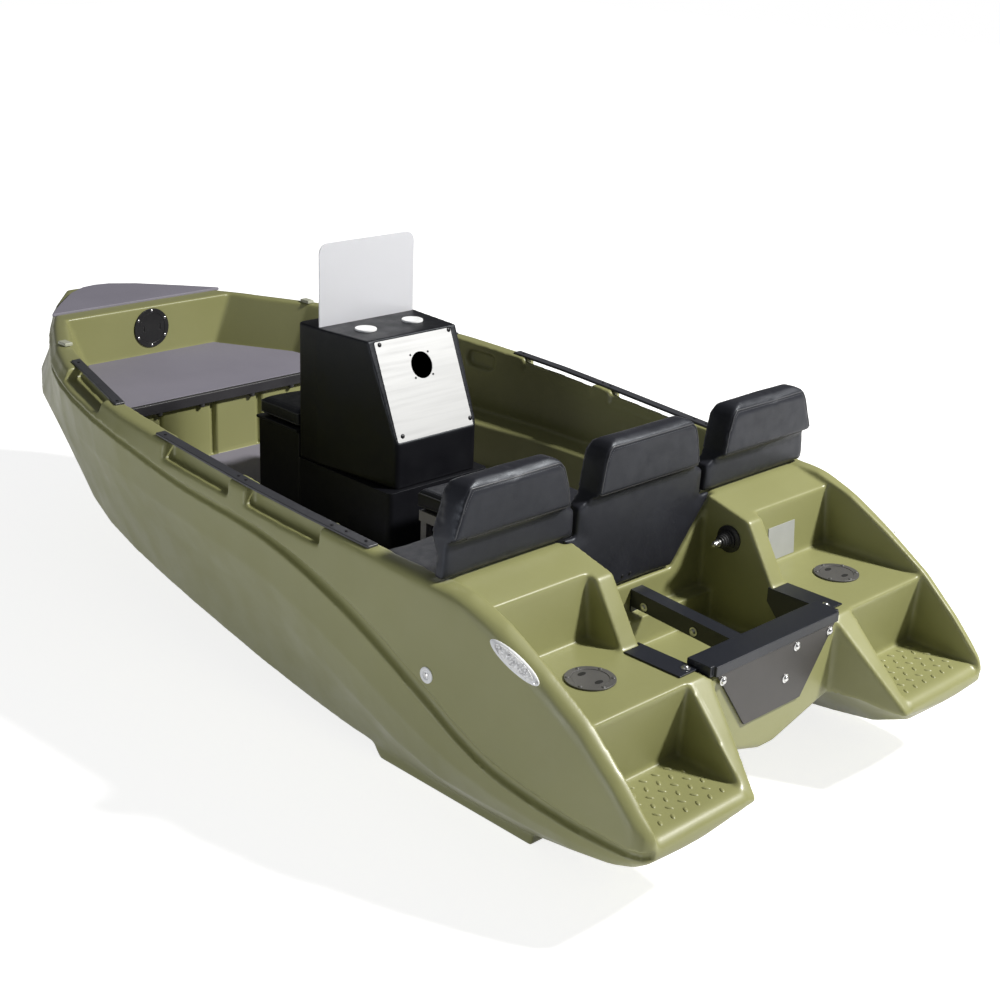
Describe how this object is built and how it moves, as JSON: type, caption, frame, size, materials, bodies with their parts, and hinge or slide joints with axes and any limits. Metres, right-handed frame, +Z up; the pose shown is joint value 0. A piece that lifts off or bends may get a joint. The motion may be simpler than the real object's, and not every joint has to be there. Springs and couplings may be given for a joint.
{
  "type": "open polyethylene boat",
  "caption": "Open rotomoulded boat with stepped stern sponsons, engine well, steering console, padded seats, hand rails and casting platform.",
  "frame": {"origin": "on the floor under the middle of the boat, half way along its length and beam", "axes": "+X to starboard, +Y forward to the bow, +Z up"},
  "size_m": [1.94, 4.5, 1.576],
  "materials": {
    "hull_polyethylene": "rotomoulded polyethylene, olive green, fine orange-peel skin",
    "rail_black": "black polymer bar, satin",
    "deck_pad": "mauve-grey foam deck sheet, matt",
    "beam_black": "black polymer edge beam",
    "hatch_black": "black moulded deck plate",
    "hatch_grey": "grey moulded deck plate",
    "seat_vinyl": "dark blue-grey marine vinyl, fine grain",
    "seat_aluminium": "mill finish tube",
    "console_black": "black rotomoulded polyethylene",
    "dash_aluminium": "brushed plate",
    "windscreen_clear": "pale acrylic sheet",
    "cap_white": "white cap",
    "bracket_grey": "dark grey coated plate",
    "bracket_black": "black coated plate",
    "boot_rubber": "black rubber boot and fitting",
    "plate_white": "blank pale plate"
  },
  "bodies": {
    "root": {"hull": "hull_polyethylene", "handrail_aft_port": "rail_black", "handrail_aft_starboard": "rail_black", "handrail_fore_port": "rail_black", "handrail_fore_starboard": "rail_black", "bow_deck_pad": "deck_pad", "casting_platform": "deck_pad", "floor_board": "deck_pad", "platform_beam": "beam_black", "bow_hatch_ring": "hatch_black", "bow_hatch_lid": "hatch_black", "stern_hatch_ring_port": "hatch_grey", "stern_hatch_ring_starboard": "hatch_grey", "stern_hatch_lid_port": "hatch_grey", "stern_hatch_lid_starboard": "hatch_grey", "backrest_port": "seat_vinyl", "backrest_middle": "seat_vinyl", "backrest_starboard": "seat_vinyl", "middle_back_panel": "seat_vinyl", "seat_cushion_port": "seat_vinyl", "seat_cushion_middle": "seat_vinyl", "seat_cushion_starboard": "seat_vinyl", "seat_frame_port": "seat_aluminium", "seat_frame_middle": "seat_aluminium", "seat_frame_starboard": "seat_aluminium", "console_base": "console_black", "console_body": "console_black", "dash_plate": "dash_aluminium", "windscreen": "windscreen_clear", "console_cap_port": "cap_white", "console_cap_starboard": "cap_white", "forward_locker": "console_black", "transom_plate_aft": "bracket_grey", "transom_plate_inner": "bracket_grey", "cross_beam": "bracket_black", "side_arm_port": "bracket_black", "side_arm_starboard": "bracket_black", "centre_brace": "bracket_black", "cable_boot": "boot_rubber", "blank_plate": "plate_white", "gunwale_fitting_port": "rail_black", "gunwale_fitting_starboard": "rail_black"},
    "forward_seat_lid": {"locker_lid": "console_black", "locker_lid_cushion": "seat_vinyl"}
  },
  "joints": [
    {"name": "forward_seat_lid_hinge", "type": "hinge", "parent": "root", "child": "forward_seat_lid", "pos_m": [0, 0.473, 0.8003], "axis": [-1, 0, 0], "range_deg": [0, 100]}
  ]
}
